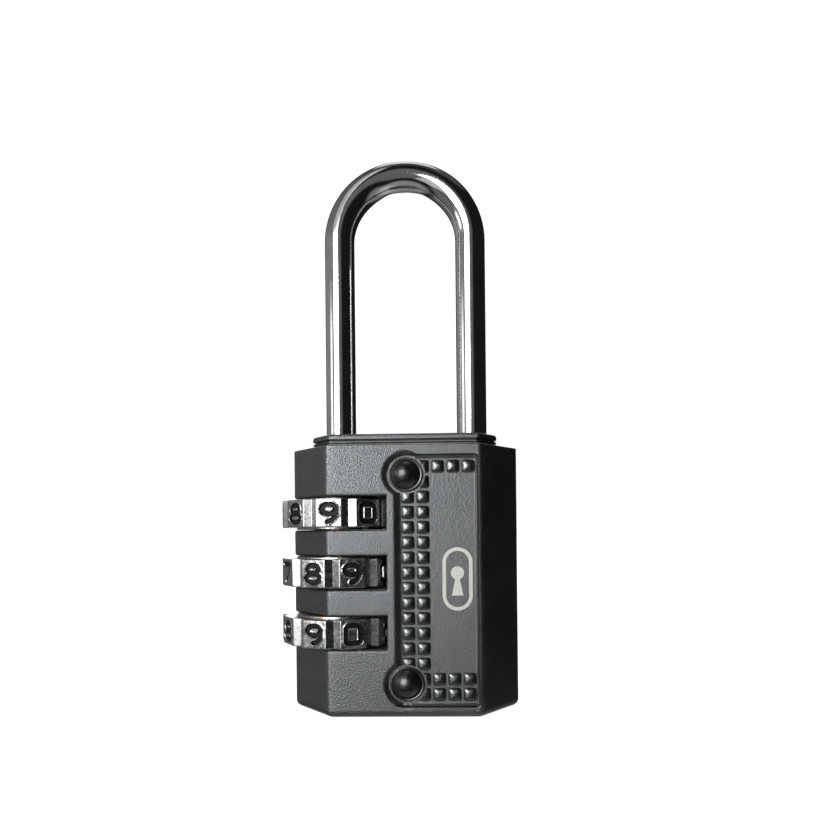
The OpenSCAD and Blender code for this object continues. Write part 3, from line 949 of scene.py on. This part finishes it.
brass = turned_metal("turned_brass", (0.5, 0.34, 0.13), (0.68, 0.5, 0.23), 0.22)
steel = turned_metal("bright_steel", (0.36, 0.37, 0.38), (0.5, 0.51, 0.53), 0.2)
make_spring(steel)
kept = {
    foil_finish(): ("emblem",),
    brass: ("shackle_bush", "thrust_ring", "spring_seat", *(f"sleeve_{name}" for name in DIALS)),
    steel: ("dowel_pins", "spring_washer", *(f"click_spring_{name}" for name in DIALS)),
}
for material, nodes in kept.items():
    for node in nodes:
        shown = frame["nodes"][node].data.materials
        shown.clear()
        shown.append(material)


# ------------------------------------------------------------------ floor, light and camera


def studio_floor():
    """A wide pale floor, seen by the camera but left out of the reflections."""
    bpy.ops.mesh.primitive_grid_add(x_subdivisions=8, y_subdivisions=8, size=3)
    floor = bpy.context.object
    floor.name = "studio_floor"
    f = Finish(
        "pale_floor",
        Roughness=0.9,
        Base_Color=(0.8, 0.8, 0.8),
        Emission_Color=(1.0, 1.0, 1.0),
        Emission_Strength=0.86,
    )
    f.bump((f.noise(2.0, 2), 0.05, 0.1))
    floor.data.materials.append(f.material)
    floor.visible_glossy = False
    floor.visible_diffuse = False


def zone(tree, value, low, high, blur):
    """1 where a value lies between low and high, 0 outside, with blurred ends."""
    ends = []
    for middle, before, after in ((low, 0.0, 1.0), (high, 1.0, 0.0)):
        node = tree.nodes.new("ShaderNodeMapRange")
        node.interpolation_type = "SMOOTHSTEP"
        for index, number in enumerate((middle - blur, middle + blur, before, after)):
            node.inputs[index + 1].default_value = number
        tree.links.new(value, node.inputs[0])
        ends.append(node.outputs[0])
    return maths(tree, "MULTIPLY", *ends)


# Azimuth from, to and blur, in degrees from the front to the right; then height (the sine of the
# elevation) from, to and blur; then strength
LIGHTS = (
    (-42, -9, 2.5, -0.04, 0.46, 0.06, 8.4),    # the softbox
    (-46, -13, 4, 0.5, 0.86, 0.06, 0.55),      # the dimmer end above it
    (-20, -14, 2, 0.42, 0.83, 0.05, 0.5),      # and a brighter strip in that
    (-41, -14, 3, -0.5, -0.04, 0.06, 0.7),     # the dimmer end below it
    (-74, -57, 2.5, 0.05, 0.36, 0.05, 1.6),    # a small window at the left
    (-130, -46, 6, -0.6, 0.86, 0.1, 0.17),     # a grey wall at the left
    (-130, -46, 6, 0.15, 0.5, 0.1, 0.12),      # and a lighter band along it
    (-13, 16, 5, -0.5, 0.5, 0.1, 0.15),        # a grey card beside the camera
    (157, 182, 6, -0.6, 0.95, 0.1, 1.7),       # the white backdrop, on both sides of the join at 180
    (-182, -148, 6, -0.6, 0.95, 0.1, 1.7),
    (40, 140, 12, -2, -0.5, 0.12, 0.25),       # light back from the floor at the right
    (-182, 182, 1, -2, -0.75, 0.08, 0.3),      # and from all of the floor
    (-181, 181, 1, 0.86, 2, 0.03, 0.07),       # a dim ceiling
    (-181, 181, 1, 0.97, 2, 0.01, 0.9),        # a light overhead
)
FILL = 0.012           # light from everywhere else
BACKDROP = 1.05        # what the camera itself sees


def studio_light():
    """Soft light from all round, by direction, behind a white backdrop for the camera."""
    world = bpy.data.worlds.new("studio")
    world.use_nodes = True
    bpy.context.scene.world = world
    tree = world.node_tree
    background = tree.nodes["Background"]
    parts = tree.nodes.new("ShaderNodeSeparateXYZ")
    tree.links.new(tree.nodes.new("ShaderNodeTexCoord").outputs["Generated"], parts.inputs[0])
    x, y, z = parts.outputs
    from_front = maths(tree, "ARCTAN2", x, maths(tree, "MULTIPLY", y, -1.0))
    azimuth = maths(tree, "MULTIPLY", from_front, math.degrees(1))
    total = FILL
    for az_low, az_high, az_blur, low, high, blur, strength in LIGHTS:
        wide, tall = zone(tree, azimuth, az_low, az_high, az_blur), zone(tree, z, low, high, blur)
        part = maths(tree, "MULTIPLY", maths(tree, "MULTIPLY", wide, tall), strength)
        total = maths(tree, "ADD", part, total)
    seen = tree.nodes.new("ShaderNodeLightPath").outputs["Is Camera Ray"]
    lit = maths(tree, "MULTIPLY", total, maths(tree, "SUBTRACT", 1.0, seen))
    shown = maths(tree, "ADD", lit, maths(tree, "MULTIPLY", seen, BACKDROP))
    tree.links.new(shown, background.inputs["Strength"])
    background.inputs["Color"].default_value = (1, 1, 1, 1)


def photo_camera():
    """A close, level camera, a little above the middle of the body."""
    at = (2.763, -78.528, 23.302)
    yaw, roll = 0.02179, -0.00967    # radians
    lens = bpy.data.cameras.new("camera")
    lens.sensor_fit = "VERTICAL"
    lens.sensor_width, lens.sensor_height = 24, 36
    lens.lens = 24.8
    lens.shift_y = 0.1449
    lens.clip_start, lens.clip_end = 0.005, 20
    camera = bpy.data.objects.new("camera", lens)
    bpy.context.scene.collection.objects.link(camera)
    turn = Matrix.Rotation(yaw, 4, "Z") @ Matrix.Rotation(math.pi / 2, 4, "X") @ Matrix.Rotation(roll, 4, "Z")
    camera.matrix_world = Matrix.Translation([value * MM for value in at]) @ turn
    bpy.context.scene.camera = camera


studio_floor()
studio_light()
photo_camera()
bpy.context.scene.view_settings.view_transform = "Standard"
